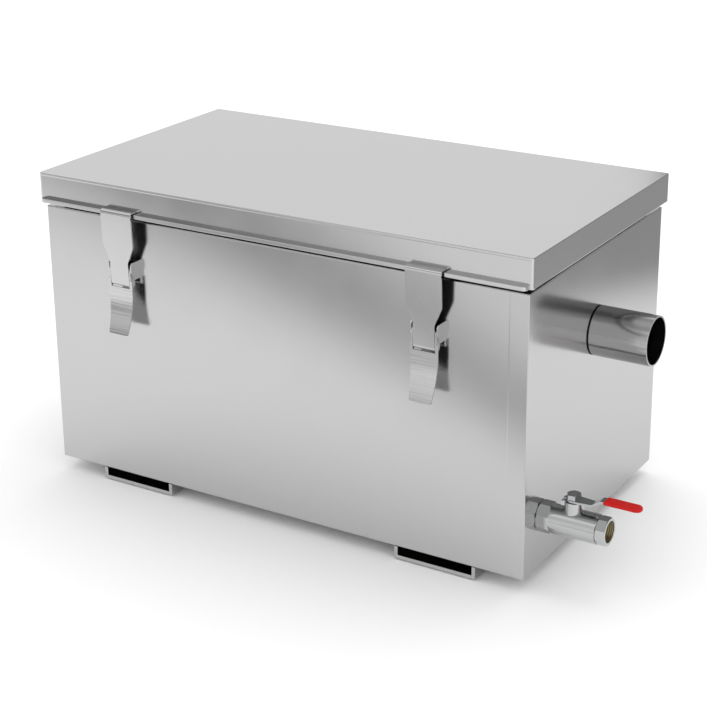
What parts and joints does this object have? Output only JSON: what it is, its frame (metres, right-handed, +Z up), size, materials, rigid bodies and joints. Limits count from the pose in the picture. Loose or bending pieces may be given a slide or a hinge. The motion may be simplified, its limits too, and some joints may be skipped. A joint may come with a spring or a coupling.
{
  "type": "grease trap",
  "caption": "Stainless steel under-sink grease trap: a box tank on channel feet with a latched lift-off lid, inlet and outlet pipes, strainer basket, baffles and a ball drain valve.",
  "frame": {"origin": "on the floor, under the middle of the tank's footprint", "axes": "+X towards the outlet, +Y towards the back, +Z up"},
  "size_m": [0.6452, 0.3132, 0.3002],
  "materials": {
    "tank_steel": "fine ground",
    "lid_steel": "fine ground",
    "foot_steel": "mill",
    "pipe_steel": "ground",
    "inner_steel": "mill",
    "rod_steel": "drawn",
    "bracket_steel": "pressed",
    "latch_steel": "polished",
    "gasket_rubber": "matt",
    "valve_metal": "satin plated brass",
    "ball_chrome": "polished",
    "lever_zinc": "zinc plated",
    "grip_plastic": "dipped",
    "seat_plastic": "moulded"
  },
  "bodies": {
    "tank": {"tank_wrapper": "tank_steel", "inlet_end_panel": "tank_steel", "outlet_end_panel": "tank_steel", "left_foot_channel": "foot_steel", "right_foot_channel": "foot_steel", "lid_pan": "lid_steel", "lid_gasket": "gasket_rubber", "outlet_pipe": "pipe_steel", "outlet_dip_elbow": "pipe_steel", "inlet_pipe": "pipe_steel", "first_baffle": "inner_steel", "second_baffle": "inner_steel", "front_basket_rail": "inner_steel", "back_basket_rail": "inner_steel", "strainer_basket": "inner_steel", "basket_handle": "rod_steel", "drain_nipple": "valve_metal", "valve_body": "valve_metal", "valve_end_cap": "valve_metal", "inner_valve_seat": "seat_plastic", "outer_valve_seat": "seat_plastic", "stem_packing": "seat_plastic", "gland_nut": "valve_metal", "front_left_latch_bracket": "bracket_steel", "front_left_latch_rivets": "bracket_steel", "front_right_latch_bracket": "bracket_steel", "front_right_latch_rivets": "bracket_steel", "back_left_latch_bracket": "bracket_steel", "back_left_latch_rivets": "bracket_steel", "back_right_latch_bracket": "bracket_steel", "back_right_latch_rivets": "bracket_steel"},
    "valve_handle": {"lever_grip": "grip_plastic", "lever_nut": "lever_zinc", "valve_ball": "ball_chrome", "valve_lever": "lever_zinc", "valve_stem": "valve_metal"},
    "front_left_latch_lever": {"front_left_latch_lever": "latch_steel", "front_left_latch_pin": "bracket_steel"},
    "front_left_latch_hook": {"front_left_latch_strap": "latch_steel"},
    "front_right_latch_lever": {"front_right_latch_lever": "latch_steel", "front_right_latch_pin": "bracket_steel"},
    "front_right_latch_hook": {"front_right_latch_strap": "latch_steel"},
    "back_left_latch_lever": {"back_left_latch_lever": "latch_steel", "back_left_latch_pin": "bracket_steel"},
    "back_left_latch_hook": {"back_left_latch_strap": "latch_steel"},
    "back_right_latch_lever": {"back_right_latch_lever": "latch_steel", "back_right_latch_pin": "bracket_steel"},
    "back_right_latch_hook": {"back_right_latch_strap": "latch_steel"}
  },
  "joints": [
    {"name": "valve_handle_hinge", "type": "hinge", "parent": "tank", "child": "valve_handle", "pos_m": [0.2796, -0.1058, 0.0589], "axis": [0, 0, 1], "range_deg": [-90, 0]},
    {"name": "front_left_latch_lever_hinge", "type": "hinge", "parent": "tank", "child": "front_left_latch_lever", "pos_m": [-0.159, -0.147, 0.2224], "axis": [-1, 0, 0], "range_deg": [0, 95]},
    {"name": "front_left_latch_hook_hinge", "type": "hinge", "parent": "front_left_latch_lever", "child": "front_left_latch_hook", "pos_m": [-0.159, -0.14625, 0.2095], "axis": [-1, 0, 0], "range_deg": [-101, 0]},
    {"name": "front_right_latch_lever_hinge", "type": "hinge", "parent": "tank", "child": "front_right_latch_lever", "pos_m": [0.159, -0.147, 0.2224], "axis": [-1, 0, 0], "range_deg": [0, 95]},
    {"name": "front_right_latch_hook_hinge", "type": "hinge", "parent": "front_right_latch_lever", "child": "front_right_latch_hook", "pos_m": [0.159, -0.14625, 0.2095], "axis": [-1, 0, 0], "range_deg": [-101, 0]},
    {"name": "back_left_latch_lever_hinge", "type": "hinge", "parent": "tank", "child": "back_left_latch_lever", "pos_m": [-0.159, 0.147, 0.2224], "axis": [1, 0, 0], "range_deg": [0, 95]},
    {"name": "back_left_latch_hook_hinge", "type": "hinge", "parent": "back_left_latch_lever", "child": "back_left_latch_hook", "pos_m": [-0.159, 0.14625, 0.2095], "axis": [1, 0, 0], "range_deg": [-101, 0]},
    {"name": "back_right_latch_lever_hinge", "type": "hinge", "parent": "tank", "child": "back_right_latch_lever", "pos_m": [0.159, 0.147, 0.2224], "axis": [1, 0, 0], "range_deg": [0, 95]},
    {"name": "back_right_latch_hook_hinge", "type": "hinge", "parent": "back_right_latch_lever", "child": "back_right_latch_hook", "pos_m": [0.159, 0.14625, 0.2095], "axis": [1, 0, 0], "range_deg": [-101, 0]}
  ],
  "couplings": [
    {"joint": "front_left_latch_hook_hinge", "follows": "front_left_latch_lever_hinge", "ratio": -1.06},
    {"joint": "front_right_latch_hook_hinge", "follows": "front_right_latch_lever_hinge", "ratio": -1.06},
    {"joint": "back_left_latch_hook_hinge", "follows": "back_left_latch_lever_hinge", "ratio": -1.06},
    {"joint": "back_right_latch_hook_hinge", "follows": "back_right_latch_lever_hinge", "ratio": -1.06}
  ]
}
